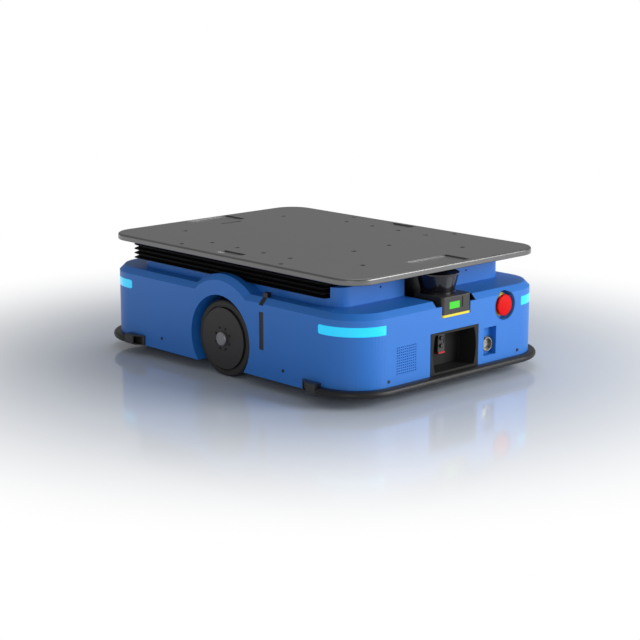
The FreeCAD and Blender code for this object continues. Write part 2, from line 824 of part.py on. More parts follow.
def make_service_socket():
    """The round metal service socket on its square flange."""
    x = front_x - pocket_recess
    flange = box(x, x + 2, pocket_y - socket_r, pocket_y + socket_r, socket_z - socket_r,
                 socket_z + socket_r)
    profile = [(0, -12), (socket_r - socket_wall - seat_gap, -12),
               (socket_r - socket_wall - seat_gap, 0),
               (socket_r, 0), (socket_r, socket_length - 1), (socket_r - 1, socket_length),
               (socket_r - socket_wall, socket_length), (socket_r - socket_wall, socket_floor),
               (0, socket_floor)]
    return flange.fuse(revolve(profile, Vector(x, pocket_y, socket_z), AXIS_X)).removeSplitter()


def make_estop_cup():
    """The round recess that the emergency stop sits in; its rim follows the wall and bevel."""
    x = front_x - estop_recess
    outer = cylinder(x - estop_wall, estop_y, estop_z, estop_recess_r, estop_recess + estop_wall,
                     AXIS_X)
    inner = cylinder(x, estop_y, estop_z, estop_recess_r - estop_wall, estop_recess + 1, AXIS_X)
    stem_hole = cylinder(x - estop_wall - 1, estop_y, estop_z, estop_stem_r + seat_gap,
                         estop_wall + 2, AXIS_X)
    return outer.common(bevelled_body(0, ground_gap)).cut([inner, stem_hole])


def make_estop_collar():
    """The yellow ring at the bottom of the recess."""
    x = front_x - estop_recess
    ring = cylinder(x, estop_y, estop_z, estop_collar_r, estop_collar_height, AXIS_X)
    ring = ring.makeChamfer(1, edges_at(ring, lambda p: p.x > x + estop_collar_height - 0.01))
    return ring.cut(cylinder(x - 1, estop_y, estop_z, estop_stem_r + fit_gap,
                             estop_collar_height + 2, AXIS_X))


def estop_head_x():
    """Where the underside of the emergency stop's head stands."""
    return front_x + estop_proud - estop_head_height


def make_estop_stem():
    """The plunger behind the head, which slides in the collar."""
    back = front_x - estop_recess - estop_wall - 14
    reach = estop_head_x() - seat_gap - back
    stem = cylinder(back, estop_y, estop_z, estop_stem_r, reach, AXIS_X)
    spigot = cylinder(back + reach, estop_y, estop_z, estop_spigot_r, estop_spigot_length, AXIS_X)
    return stem.fuse(spigot).removeSplitter()


def make_estop_head():
    """The mushroom head: a domed disc with a ring of finger notches."""
    r = estop_head_r
    h = estop_head_height
    bore = estop_spigot_r + fit_gap
    deep = estop_spigot_length + seat_gap
    profile = [(bore, 0), (r - 2, 0), (r, 2), (r, h - estop_dome - 2), (r - 2, h - estop_dome),
               (r / 2, h - estop_dome / 4), (0, h), (0, deep), (bore, deep)]
    head = revolve(profile, Vector(estop_head_x(), estop_y, estop_z), AXIS_X)
    notches = []
    for number in range(8):
        turn = math.radians(45 * number + 22.5)
        notches.append(cylinder(estop_head_x() - 1, estop_y + (r + 2.5) * math.cos(turn),
                                estop_z + (r + 2.5) * math.sin(turn), 4, h - estop_dome, AXIS_X))
    return head.cut(notches)


def make_side_sensor():
    """The right side sensor: a tall window in the wall and a hooded block on the shoulder."""
    y = -side_y
    back = y + sensor_depth
    inner = y + shell_wall
    half = slot_width / 2 + sensor_frame
    housing = box(slot_x - half, slot_x + half, inner, back, slot_low_z - sensor_frame,
                  shoulder_z - shell_wall)
    window = slot_box(y + sensor_window_recess, back, slot_low_z, slot_high_z)
    rise = deck_z + sensor_rise
    outline = [(y, shoulder_z), (y + bevel, deck_z), (y + bevel, rise), (back + 4, rise),
               (back + 4, deck_z), (y + bevel + 4, deck_z), (y + bevel + 4, shoulder_z - shell_wall),
               (inner, shoulder_z - shell_wall), (y, shoulder_z - shell_wall / 3)]
    hood = outline_prism([(slot_x - slot_width / 2, py, pz) for py, pz in outline],
                         Vector(slot_width, 0, 0))
    body = housing.cut(bevelled_body(0, ground_gap).cut(bevelled_body(shell_wall, ground_gap - 1)))
    return body.fuse([window, hood]).removeSplitter()


# ---- frame and electrics ------------------------------------------------------------------
def make_base_frame():
    """The welded frame: floor pan, rails, cross beams, caster plates, towers and jack feet."""
    pan = body_prism(shell_wall + seat_gap, ground_gap, pan_top_z)
    well = box(-arch_r - shell_wall - 1, arch_r + shell_wall + 1, -side_y, well_depth - side_y + 1,
               0, pan_top_z + 1)
    cuts = [well, mirror_y(well)]
    reach = charge_half_width + seat_gap
    port = box(front_x - charge_depth - charge_back - seat_gap, front_x, charge_y - reach,
               charge_y + reach, 0, charge_top_z)
    cuts.append(port)
    for _, x, y in four_corners(caster_x, caster_y):
        cuts.append(cylinder(x, y, 0, caster_hole_r, pan_top_z + 1))
    pan = pan.cut(cuts)
    pieces = []
    plate_low = caster_plate_z
    plate_high = caster_plate_z + caster_plate_thickness
    for side in (-1, 1):
        low_y = side * rail_y - rail_width / 2
        rail = box(-rail_half_length, rail_half_length, low_y, low_y + rail_width,
                   pan_top_z, plate_low)
        hollow = box(-rail_half_length - 1, rail_half_length + 1, low_y + 4, low_y + rail_width - 4,
                     pan_top_z + 4, plate_low - 4)
        pieces.append(rail.cut(hollow))
    inside = rail_y - rail_width / 2
    for side in (-1, 1):
        low_x = side * beam_x - beam_width / 2
        pieces.append(box(low_x, low_x + beam_width, -inside, inside, pan_top_z, plate_low))
    edge = side_y - shell_wall - seat_gap - 4
    for _, x, y in four_corners(caster_x, caster_y):
        low_y, high_y = sorted((math.copysign(inside, y), math.copysign(edge - 16, y)))
        plate = box(x - caster_plate_half_length, x + caster_plate_half_length, low_y, high_y,
                    plate_low, plate_high)
        plate = plate.common(body_prism(shell_wall + seat_gap, plate_low, plate_high))
        pieces.append(plate.cut(cylinder(x, y, plate_low - 1, caster_pin_r + fit_gap,
                                         caster_plate_thickness + 2)))
    for _, x, y in four_corners(jack_x, jack_y):
        foot = cylinder(x, y, pan_top_z, jack_foot_r, jack_foot_z - pan_top_z)
        pieces.append(foot.cut(cylinder(x, y, pan_top_z + 8, jack_screw_r + fit_gap, jack_foot_z)))
    for side in (-1, 1):
        low_y, high_y = sorted((side * (post_y + tower_depth / 2), side * (post_y - tower_depth / 2)))
        edge_x = carriage_half_width + seat_gap + 2
        for x in (-edge_x - tower_wall, edge_x):
            pieces.append(box(x, x + tower_wall, low_y, high_y, pan_top_z, tower_top_z))
        pieces.append(box(-edge_x, edge_x, low_y, high_y, tower_top_z - tower_wall, tower_top_z))
    bores = []
    half = tab_width / 2
    for point, way in shell_screw_places():
        across = AXIS_Z.cross(way)
        foot = point - way * (shell_wall + tab_thickness) - across * half
        foot.z = pan_top_z
        corners = [foot, foot + across * tab_width, foot + across * tab_width + way * tab_thickness,
                   foot + way * tab_thickness]
        tab = outline_prism([tuple(c) for c in corners],
                            Vector(0, 0, shell_screw_z + half - pan_top_z))
        pieces.append(tab.common(body_prism(shell_wall, pan_top_z, shoulder_z)))
        bores.append(Part.makeCylinder(screw_r + fit_gap, tab_thickness + shell_wall + 1,
                                       foot_point(point, way), way))
    return pan.fuse(pieces).cut(bores).removeSplitter()


def foot_point(point, way):
    """A point behind a shell screw's tab, where its bore starts."""
    return point - way * (shell_wall + tab_thickness + 1)


def make_guide_posts():
    """The four polished posts that the drive units slide on."""
    posts = []
    for _, x, y in four_corners(post_x, post_y):
        posts.append(cylinder(x, y, pan_top_z, post_r, tower_top_z - tower_wall - pan_top_z))
    return posts


def make_battery():
    """The battery pack between the rails."""
    z0 = pan_top_z
    pack = box(battery_low_x, battery_high_x, -battery_half_width, battery_half_width,
               z0, z0 + battery_height)
    return pack.makeFillet(battery_edge, edges_at(pack, lambda p: p.z > z0 + 1))


def make_control_unit():
    """The control unit on the battery, with cooling fins along its lid."""
    z0 = pan_top_z + battery_height
    x0 = (battery_low_x + battery_high_x - control_length) / 2
    unit = box(x0, x0 + control_length, -control_half_width, control_half_width,
               z0, z0 + control_height)
    fins = []
    pitch = 2 * control_half_width / control_fins
    for number in range(control_fins):
        y = -control_half_width + (number + 0.25) * pitch
        fins.append(box(x0 + 10, x0 + control_length - 10, y, y + pitch / 2,
                        z0 + control_height, z0 + control_height + control_fin_height))
    return unit.fuse(fins).removeSplitter()


# ---- lift ---------------------------------------------------------------------------------
def belt_path(offset):
    """The belt's loop, offset outwards from the pulleys' centres."""
    corners = [(jack_x, -jack_y), (jack_x, jack_y), (-jack_x, jack_y), (lift_motor_x, 0),
               (-jack_x, -jack_y)]
    hull = Part.Face(Part.makePolygon([Vector(x, y, 0) for x, y in corners + [corners[0]]]))
    return hull.makeOffset2D(offset)


def make_lift_belt():
    """The toothed belt that turns the four jacks together."""
    inner = pulley_r + belt_gap
    ring = belt_path(inner + belt_thickness).cut(belt_path(inner))
    ring.translate(Vector(0, 0, pulley_z + pulley_flange_height + 1))
    return ring.extrude(Vector(0, 0, pulley_height - 2 * pulley_flange_height - 2))


def pulley(x, y, bore):
    """A flanged belt pulley round a shaft."""
    r = pulley_r
    flange = r + pulley_flange
    step = pulley_flange_height
    h = pulley_height
    profile = [(bore, 0), (flange, 0), (flange, step), (r, step), (r, h - step), (flange, h - step),
               (flange, h), (bore, h)]
    return revolve(profile, Vector(x, y, pulley_z), AXIS_Z)


def make_jack_screw(x, y):
    """One jack screw with its pulley pressed on."""
    start = pan_top_z + 8
    screw = cylinder(x, y, start, jack_screw_r, jack_screw_top_z - start)
    screw = screw.makeChamfer(1.5, edges_at(screw, lambda p: p.z > jack_screw_top_z - 0.01))
    collar = cylinder(x, y, jack_foot_z, jack_foot_r - 8, 4)
    return screw.fuse([pulley(x, y, jack_screw_r - 1), collar]).removeSplitter()


def make_lift_motor():
    """The lift motor that stands inside the belt's loop."""
    body = cylinder(lift_motor_x, 0, pan_top_z, lift_motor_r, lift_motor_height)
    body = body.makeChamfer(2, edges_at(body, lambda p: p.z > pan_top_z + lift_motor_height - 0.01))
    bore = cylinder(lift_motor_x, 0, pan_top_z + 12, lift_shaft_r + fit_gap, lift_motor_height)
    return body.cut(bore)


def make_lift_motor_pulley():
    """The motor's shaft with its pulley."""
    start = pan_top_z + 12
    shaft = cylinder(lift_motor_x, 0, start, lift_shaft_r, pulley_z + pulley_height - start)
    return shaft.fuse(pulley(lift_motor_x, 0, lift_shaft_r - 1)).removeSplitter()


def make_lift_guides():
    """The plate on the towers, with four bushes that the legs slide through."""
    z0 = guide_plate_z
    z1 = z0 + guide_plate_thickness
    plate = rounded_prism(-guide_plate_half_length, guide_plate_half_length, -guide_plate_half_width,
                          guide_plate_half_width, 20, z0, z1)
    reach = post_y + tower_depth / 2
    tab = box(-carriage_half_width, carriage_half_width, -reach, reach, z0, z1)
    window = rounded_prism(-guide_window_half_length, guide_window_half_length,
                           -guide_window_half_width, guide_window_half_width, 20, z0 - 1, z1 + 1)
    plate = plate.fuse(tab).cut(window)
    bushes = []
    bores = []
    for _, x, y in four_corners(jack_x, jack_y):
        bushes.append(cylinder(x, y, z0, guide_r, guide_height))
        bores.append(cylinder(x, y, z0 - 1, leg_r + fit_gap, guide_height + 2))
    return plate.fuse(bushes).cut(bores).removeSplitter()


def plate_holes():
    """The places of the tapped holes in the top plate."""
    places = []
    for x, y in ((row_inner_x, row_y), (row_outer_x, row_y), (side_hole_x, side_hole_y),
                 (corner_hole_x, corner_hole_y)):
        places += [(px, py) for _, px, py in four_corners(x, y)]
    places += [(front_pair_x, front_pair_y), (front_pair_x, -front_pair_y)]
    return places


def make_top_plate():
    """The lifting plate: round corners, an eased rim, shallow pockets and tapped holes."""
    plate = rounded_prism(-plate_half_x, plate_half_x, -plate_half_y, plate_half_y,
                          plate_corner_r, plate_bottom_z, plate_top_z)
    plate = plate.makeFillet(plate_edge, edges_at(plate, lambda p: p.z > plate_top_z - 0.01))
    plate = plate.makeChamfer(plate_low_edge, edges_at(plate, lambda p: p.z < plate_bottom_z + 0.01))
    cuts = []
    floor = plate_top_z - pocket_depth
    for side in (-1, 1):
        x0, x1 = sorted((side * end_pocket_x, side * (end_pocket_x + end_pocket_length)))
        cuts.append(box(x0, x1, -end_pocket_half_width, end_pocket_half_width, floor, plate_top_z + 1))
        y0, y1 = sorted((side * side_pocket_y, side * (side_pocket_y + side_pocket_width)))
        cuts.append(box(-side_pocket_half_length, side_pocket_half_length, y0, y1, floor,
                        plate_top_z + 1))
    cuts.append(box(cable_slot_x - cable_slot_width / 2, cable_slot_x + cable_slot_width / 2,
                    -cable_slot_half_length, cable_slot_half_length, floor, plate_top_z + 1))
    for x, y in plate_holes():
        hole = cylinder(x, y, plate_bottom_z - 1, plate_hole_r, plate_thickness + 2)
        edge = cone(x, y, plate_top_z - plate_hole_edge, plate_hole_r, plate_hole_r + 2 * plate_hole_edge,
                    2 * plate_hole_edge)
        cuts.append(hole.fuse(edge))
    return plate.cut(cuts)


def make_lift_carrier():
    """The welded carrier under the plate: a ring of flat bars with two cross bars."""
    x = carrier_half_length
    y = carrier_half_width
    bar = carrier_bar
    ring = rounded_prism(-x, x, -y, y, 12, carrier_bottom_z, plate_bottom_z)
    gap = (x - bar - bar / 2) / 2
    for side in (-1, 1):
        middle = side * (bar / 2 + gap)
        ring = ring.cut(box(middle - gap, middle + gap, bar - y, y - bar, carrier_bottom_z - 1,
                            plate_bottom_z + 1))
    return ring


def make_lift_legs():
    """Four tubes under the carrier, each with the jack's nut in its lower end."""
    legs = []
    for _, x, y in four_corners(jack_x, jack_y):
        tube = cylinder(x, y, leg_bottom_z, leg_r, carrier_bottom_z - leg_bottom_z)
        hollow = cylinder(x, y, leg_bottom_z + nut_height, leg_r - leg_wall,
                          carrier_bottom_z - leg_bottom_z - nut_height - 4)
        nut = cylinder(x, y, leg_bottom_z - 1, jack_screw_r + fit_gap, nut_height + 2)
        legs.append(tube.cut([hollow, nut]))
    return legs


def bellows_plan(grow, z):
    """The bellows' outline at one height, moved inwards by grow."""
    return rounded_face(bellows_rear_x + grow, bellows_front_x - grow,
                        grow - bellows_half_width, bellows_half_width - grow,
                        bellows_corner_r - grow, z)


def bellows_skin(inset):
    """One face of the pleats, stacked from the flange to the plate."""
    low = neck_top_z + bellows_flange
    step = (plate_bottom_z - low) / (2 * bellows_pleats)
    layers = []
    for number in range(2 * bellows_pleats):
        z = low + number * step
        start, end = (inset, inset + bellows_depth)
        if number % 2:
            start, end = end, start
        wires = [bellows_plan(start, z).OuterWire, bellows_plan(end, z + step).OuterWire]
        layers.append(Part.makeLoft(wires, True, True))
    return layers[0].fuse(layers[1:])


def make_bellows():
    """The pleated cover between the neck and the plate, with its flange on the neck."""
    half = neck_flange / 2
    hole = rounded_face(neck_rear_x + half, (bellows_front_x + neck_open_x) / 2,
                        half - neck_half_width, neck_half_width - half, bellows_corner_r, neck_top_z)
    flange = bellows_plan(0, neck_top_z).cut(hole).extrude(Vector(0, 0, bellows_flange))
    return bellows_skin(0).cut(bellows_skin(bellows_wall)).fuse(flange).removeSplitter()


# ---- drive units --------------------------------------------------------------------------
def make_drive_unit():
    """The right drive unit: a carriage plate with slide bushes, gearbox, motor and axle."""
    y = -carriage_y
    z0 = wheel_r - carriage_height / 2
    plate = box(-carriage_half_width, carriage_half_width, y - carriage_thickness, y,
                z0, z0 + carriage_height)
    plate = plate.makeFillet(10, [e for e in plate.Edges if abs(e.Vertexes[0].Y - e.Vertexes[-1].Y) > 1])
    gearbox = cylinder(0, y, wheel_r, gearbox_r, gearbox_length, AXIS_Y)
    gearbox = gearbox.makeChamfer(3, edges_at(gearbox, lambda p: p.y > y + gearbox_length - 0.01))
    axle_tip = wheel_face_y - hub_wall / 2
    axle = cylinder(0, -axle_tip, wheel_r, axle_r, axle_tip + y, AXIS_Y)
    bosses = []
    bores = []
    for x in (-post_x, post_x):
        bosses.append(cylinder(x, -post_y, wheel_r - post_boss_height / 2, post_boss_r,
                               post_boss_height))
        bores.append(cylinder(x, -post_y, 0, post_r + fit_gap, deck_z))
    return plate.fuse([gearbox, axle] + bosses).cut(bores).removeSplitter()


def make_springs():
    """The right drive unit's two ribbed rubber springs, round the posts above the bushes."""
    low = wheel_r + post_boss_height / 2
    step = (tower_top_z - tower_wall - low) / (2 * spring_ribs)
    outline = [(post_r + spring_play, 0)]
    for number in range(spring_ribs):
        outline.append((spring_r - spring_groove, 2 * number * step))
        outline.append((spring_r, (2 * number + 1) * step))
    outline.append((spring_r - spring_groove, 2 * spring_ribs * step))
    outline.append((post_r + spring_play, 2 * spring_ribs * step))
    return [revolve(outline, Vector(x, -post_y, low), AXIS_Z) for x in (-post_x, post_x)]


def make_tyre():
    """The right tyre: a thick ring with eased shoulders."""
    inner = wheel_r - tyre_depth
    profile = [(inner, 0), (wheel_r - tyre_shoulder, 0), (wheel_r - tyre_shoulder / 3, tyre_shoulder / 3),
               (wheel_r, tyre_shoulder), (wheel_r, wheel_width - tyre_shoulder),
               (wheel_r - tyre_shoulder / 3, wheel_width - tyre_shoulder / 3),
               (wheel_r - tyre_shoulder, wheel_width), (inner, wheel_width)]
    return revolve(profile, Vector(0, -wheel_face_y, wheel_r), AXIS_Y)


def make_wheel_hub():
    """The right hub: a slightly proud disc with a rim, a groove and a boss on the axle."""
    rim = wheel_r - tyre_depth
    bore = axle_r + fit_gap
    front = -hub_proud
    profile = [(0, front), (rim - hub_groove, front + 1.5), (rim - hub_groove, hub_groove_depth),
               (rim, hub_groove_depth), (rim, wheel_width), (rim - 5, wheel_width),
               (rim - 5, hub_wall + hub_groove_depth), (hub_boss_r, hub_wall + hub_groove_depth),
               (hub_boss_r, wheel_width - 2), (bore, wheel_width - 2), (bore, hub_wall / 2 - 1),
               (0, hub_wall / 2 - 1)]
    return revolve(profile, Vector(0, -wheel_face_y, wheel_r), AXIS_Y)


def make_wheel_cap():
    """The right hub cap and the bolts round it."""
    face = -wheel_face_y - hub_proud
    profile = [(0, 0), (cap_r, 0), (cap_r, -cap_height + 2), (cap_r - 2, -cap_height), (0, -cap_height)]
    pieces = [revolve(profile, Vector(0, face, wheel_r), AXIS_Y)]
    for number in range(wheel_bolt_count):
        turn = 2 * math.pi * (number + 0.5) / wheel_bolt_count
        x = wheel_bolt_ring_r * math.cos(turn)
        z = wheel_r + wheel_bolt_ring_r * math.sin(turn)
        bolt = cylinder(x, face - wheel_bolt_head + 1, z, wheel_bolt_r, wheel_bolt_head, AXIS_Y)
        pieces.append(bolt.cut(make_disc_cutter(face)))
    return pieces


def make_disc_cutter(face):
    """The space behind the hub's face, kept free of the bolts' heads."""
    rim = wheel_r - tyre_depth - hub_groove
    return revolve([(0, 0), (rim, 1.5), (rim, 20), (0, 20)], Vector(0, face, wheel_r), AXIS_Y)


# ---- casters ------------------------------------------------------------------------------
def make_caster_fork(x, y):
    """A swivel fork: king pin, crown, two legs and the axle; the wheel trails behind it."""
    top = caster_plate_z - seat_gap
    pin = cylinder(x, y, top - 2, caster_pin_r, caster_plate_thickness + 2 * seat_gap + 4)
    crown = cylinder(x, y, top - caster_crown_height, caster_crown_r, caster_crown_height)
    nut = cylinder(x, y, caster_plate_z + caster_plate_thickness + seat_gap, caster_nut_r,
                   caster_nut_height)
    half = caster_wheel_width / 2 + fork_gap
    axle_x = x - caster_trail
    low_z = top - caster_crown_height
    legs = []
    for side in (-1, 1):
        y0, y1 = sorted((y + side * half, y + side * (half + fork_wall)))
        leg = outline_prism([(x + fork_leg_width / 2, y0, low_z + 6), (x - fork_leg_width, y0, low_z + 6),
                             (axle_x - fork_leg_width / 2, y0, caster_wheel_r),
                             (axle_x - fork_leg_width / 3, y0, caster_wheel_r - 11),
                             (axle_x + fork_leg_width / 3, y0, caster_wheel_r - 11),
                             (axle_x + fork_leg_width / 2, y0, caster_wheel_r)], Vector(0, y1 - y0, 0))
        legs.append(leg)
    bridge = box(x - fork_leg_width, x + fork_leg_width / 2, y - half - fork_wall, y + half + fork_wall,
                 low_z + 2, low_z + 8)
    reach = half + fork_wall + 3
    axle = cylinder(axle_x, y - reach, caster_wheel_r, caster_axle_r, 2 * reach, AXIS_Y)
    return crown.fuse([pin, nut, bridge, axle] + legs).removeSplitter()


def make_caster_wheel(x, y):
    """A caster wheel with a soft tread profile, bored for its axle."""
    r = caster_wheel_r
    w = caster_wheel_width / 2
    bore = caster_axle_r + fit_gap
    profile = [(bore, -w), (r - 12, -w), (r - 12, -w + 3), (r - 4, -w + 3), (r, -w + caster_tread),
               (r, w - caster_tread), (r - 4, w - 3), (r - 12, w - 3), (r - 12, w), (bore, w)]
    return revolve(profile, Vector(x - caster_trail, y, r), AXIS_Y)


# ---- the assembly -------------------------------------------------------------------------
def both_sides(name, shapes):
    """A right-hand piece and its mirror image on the left."""
    shapes = shapes if isinstance(shapes, list) else [shapes]
    return {name + "_right": shapes, name + "_left": [mirror_y(s) for s in shapes]}


def make_nodes():
    """Every piece of the robot by name."""
    nodes = {
        "base_frame": make_base_frame(),
        "body_shell": make_body_shell(),
        "neck_cover": make_neck_cover(),
        "shell_screws": make_shell_screws(),
        "bumper_end_caps": make_bumper_end_caps(),
        "scanner_bay": make_scanner_bay(),
        "scanner_base": make_scanner_base(),
        "scanner_stripe": scanner_plan(scanner_bottom_z, scanner_block_z),
        "scanner_display": make_scanner_display(),
        "scanner_optics": make_scanner_optics(),
        "scanner_mirror": make_scanner_mirror(),
        "speaker_grille": make_speaker_grille(),
        "charge_port": make_charge_port(),
        "charge_contacts": make_charge_contacts(),
        "contact_strips": make_contact_strips(),
        "service_pocket": make_service_pocket(),
        "service_socket": make_service_socket(),
        "estop_cup": make_estop_cup(),
        "estop_collar": make_estop_collar(),
        "estop_stem": make_estop_stem(),
        "estop_head": make_estop_head(),
        "battery_pack": make_battery(),
        "control_unit": make_control_unit(),
        "drive_guide_posts": make_guide_posts(),
        "lift_motor": make_lift_motor(),
        "lift_motor_pulley": make_lift_motor_pulley(),
        "lift_belt": make_lift_belt(),
        "lift_guides": make_lift_guides(),
        "lift_carrier": make_lift_carrier(),
        "lift_legs": make_lift_legs(),
        "top_plate": make_top_plate(),
        "bellows": make_bellows(),
    }
    bumper = make_bumper()
    nodes["front_bumper"] = bumper
    nodes["rear_bumper"] = mirror_x(bumper)
    lights = make_lights()
    nodes["lights_front"] = lights
    nodes["lights_rear"] = [mirror_x(light) for light in lights]
    nodes.update(both_sides("side_sensor", make_side_sensor()))
    nodes.update(both_sides("drive_unit", make_drive_unit()))
    nodes.update(both_sides("drive_springs", make_springs()))
    nodes.update(both_sides("wheel_tyre", make_tyre()))
    nodes.update(both_sides("wheel_hub", make_wheel_hub()))
    nodes.update(both_sides("wheel_cap", make_wheel_cap()))
    for name, x, y in four_corners(jack_x, jack_y):
        nodes["jack_screw_" + name] = make_jack_screw(x, y)
    for name, x, y in four_corners(caster_x, caster_y):
        nodes["caster_fork_" + name] = make_caster_fork(x, y)
        nodes["caster_wheel_" + name] = make_caster_wheel(x, y)
    return nodes


def export_nodes(nodes):
    """One STEP file for each node; a list of solids becomes a compound."""
    for name, shape in nodes.items():
        if isinstance(shape, list):
            shape = shape[0] if len(shape) == 1 else Part.makeCompound(shape)
        shape.exportStep("parts/" + name + ".step")


export_nodes(make_nodes())
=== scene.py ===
import bpy, bmesh
import json, math
import numpy as np
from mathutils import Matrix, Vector

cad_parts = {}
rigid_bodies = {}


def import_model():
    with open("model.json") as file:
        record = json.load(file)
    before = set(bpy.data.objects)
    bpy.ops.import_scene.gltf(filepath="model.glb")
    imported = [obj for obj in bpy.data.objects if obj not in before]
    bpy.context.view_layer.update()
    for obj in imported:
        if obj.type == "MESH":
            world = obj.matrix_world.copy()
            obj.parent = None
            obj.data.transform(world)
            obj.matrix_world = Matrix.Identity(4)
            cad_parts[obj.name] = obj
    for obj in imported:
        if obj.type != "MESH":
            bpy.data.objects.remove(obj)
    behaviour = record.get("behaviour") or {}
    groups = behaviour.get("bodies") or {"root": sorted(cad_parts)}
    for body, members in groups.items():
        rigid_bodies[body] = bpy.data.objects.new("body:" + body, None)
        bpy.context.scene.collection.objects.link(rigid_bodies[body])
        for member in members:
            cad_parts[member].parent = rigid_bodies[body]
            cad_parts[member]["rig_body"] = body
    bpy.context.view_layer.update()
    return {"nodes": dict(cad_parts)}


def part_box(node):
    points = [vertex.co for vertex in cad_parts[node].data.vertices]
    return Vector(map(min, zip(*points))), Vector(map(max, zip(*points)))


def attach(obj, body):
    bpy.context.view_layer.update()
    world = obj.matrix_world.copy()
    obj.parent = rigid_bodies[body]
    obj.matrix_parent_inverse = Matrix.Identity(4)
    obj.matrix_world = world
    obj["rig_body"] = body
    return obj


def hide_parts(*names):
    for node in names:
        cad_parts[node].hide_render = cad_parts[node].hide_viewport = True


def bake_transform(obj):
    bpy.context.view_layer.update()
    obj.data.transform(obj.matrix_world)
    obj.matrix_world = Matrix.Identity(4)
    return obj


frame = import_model()
print("frame loaded")


cameraLook = {"place": (3.2004, -3.0250, 1.0839), "azimuth": 46.608, "elevation": 12.676,
              "lens": 96.24, "sensor": 36.0}


def addCamera(look):
    # looks back along the direction that azimuth and elevation give
    turn = math.radians(look["azimuth"])
    rise = math.radians(look["elevation"])
    back = Vector((math.sin(turn) * math.cos(rise), -math.cos(turn) * math.cos(rise), math.sin(rise)))
    data = bpy.data.cameras.new("studioCamera")
    data.lens = look["lens"]
    data.sensor_width = look["sensor"]
    camera = bpy.data.objects.new("studioCamera", data)
    camera.location = look["place"]
    camera.rotation_mode = "QUATERNION"
    camera.rotation_quaternion = (-back).to_track_quat("-Z", "Y")
    bpy.context.scene.collection.objects.link(camera)
    bpy.context.scene.camera = camera


stageLook = {
    "worldLight": 0.33,
    "lamps": [  # name, place, aims at, width, strength
        ("frontLamp", (3.6, 2.0, 1.5), (0.3, 0.0, 0.15), 2.4, 150.0),
        ("cameraLamp", (2.9, -4.3, 1.5), (0.0, 0.0, 0.1), 1.2, 26.0),
        ("topLamp", (-0.6, 1.4, 3.4), (0.0, 0.0, 0.0), 2.6, 30.0),
    ],
}
floorLook = {
    "size": 30.0, "color": (0.64, 0.71, 0.82), "roughness": 0.10, "ior": 1.75,
    "fadeStart": 0.50, "fadeEnd": 1.45, "light": (1.0, 1.0, 1.0),
}


def addMath(nodes, operation, value=None):
    # one math node with its second input set
    step = nodes.new("ShaderNodeMath")
    step.operation = operation
    if value is not None:
        step.inputs[1].default_value = value
    return step


def addFloor(look):
    # a glossy plane that turns from pale blue near the middle to plain white further out
    size = look["size"]
    mesh = bpy.data.meshes.new("floor")
    square = [(-size, -size, 0), (size, -size, 0), (size, size, 0), (-size, size, 0)]
    mesh.from_pydata(square, [], [(0, 1, 2, 3)])
    floor = bpy.data.objects.new("floor", mesh)
    bpy.context.scene.collection.objects.link(floor)
    material = bpy.data.materials.new("floorPaint")
    material.use_nodes = True
    nodes, links = material.node_tree.nodes, material.node_tree.links
    near = nodes["Principled BSDF"]
    near.inputs["Base Color"].default_value = (*look["color"], 1)
    near.inputs["Roughness"].default_value = look["roughness"]
    near.inputs["IOR"].default_value = look["ior"]
    far = nodes.new("ShaderNodeEmission")
    far.inputs["Color"].default_value = (*look["light"], 1)
    place = nodes.new("ShaderNodeTexCoord")
    distance = nodes.new("ShaderNodeVectorMath")
    distance.operation = "LENGTH"
    links.new(place.outputs["Object"], distance.inputs[0])
    share = nodes.new("ShaderNodeMapRange")
    share.interpolation_type = "SMOOTHSTEP"
    share.inputs["From Min"].default_value = look["fadeStart"]
    share.inputs["From Max"].default_value = look["fadeEnd"]
    links.new(distance.outputs["Value"], share.inputs["Value"])
    mix = nodes.new("ShaderNodeMixShader")
    links.new(share.outputs[0], mix.inputs["Fac"])
    links.new(near.outputs[0], mix.inputs[1])
    links.new(far.outputs[0], mix.inputs[2])
    links.new(mix.outputs[0], nodes["Material Output"].inputs["Surface"])
    mesh.materials.append(material)
    return floor


def addStage(look, floor):
    # square lamps that aim at the part, and a world that is white where it is seen and softer where it lights
    for name, place, target, width, strength in look["lamps"]:
        data = bpy.data.lights.new(name, "AREA")
        data.shape, data.size, data.energy = "SQUARE", width, strength
        lamp = bpy.data.objects.new(name, data)
        lamp.location = place
        lamp.rotation_euler = (Vector(target) - Vector(place)).to_track_quat("-Z", "Y").to_euler()
        bpy.context.scene.collection.objects.link(lamp)
    world = bpy.data.worlds.new("studioWorld")
    world.use_nodes = True
    nodes, links = world.node_tree.nodes, world.node_tree.links
    path = nodes.new("ShaderNodeLightPath")
    seen = addMath(nodes, "MAXIMUM")
    links.new(path.outputs["Is Camera Ray"], seen.inputs[0])
    links.new(path.outputs["Is Transmission Ray"], seen.inputs[1])
    level = nodes.new("ShaderNodeMapRange")
    level.inputs["To Min"].default_value = look["worldLight"]
    level.inputs["To Max"].default_value = 1.0
    links.new(seen.outputs[0], level.inputs["Value"])
    links.new(level.outputs[0], nodes["Background"].inputs["Strength"])
    nodes["Background"].inputs["Color"].default_value = (1, 1, 1, 1)
    bpy.context.scene.world = world


bpy.context.scene.view_settings.view_transform = "Standard"
addCamera(cameraLook)
addStage(stageLook, addFloor(floorLook))
print("stage ready")


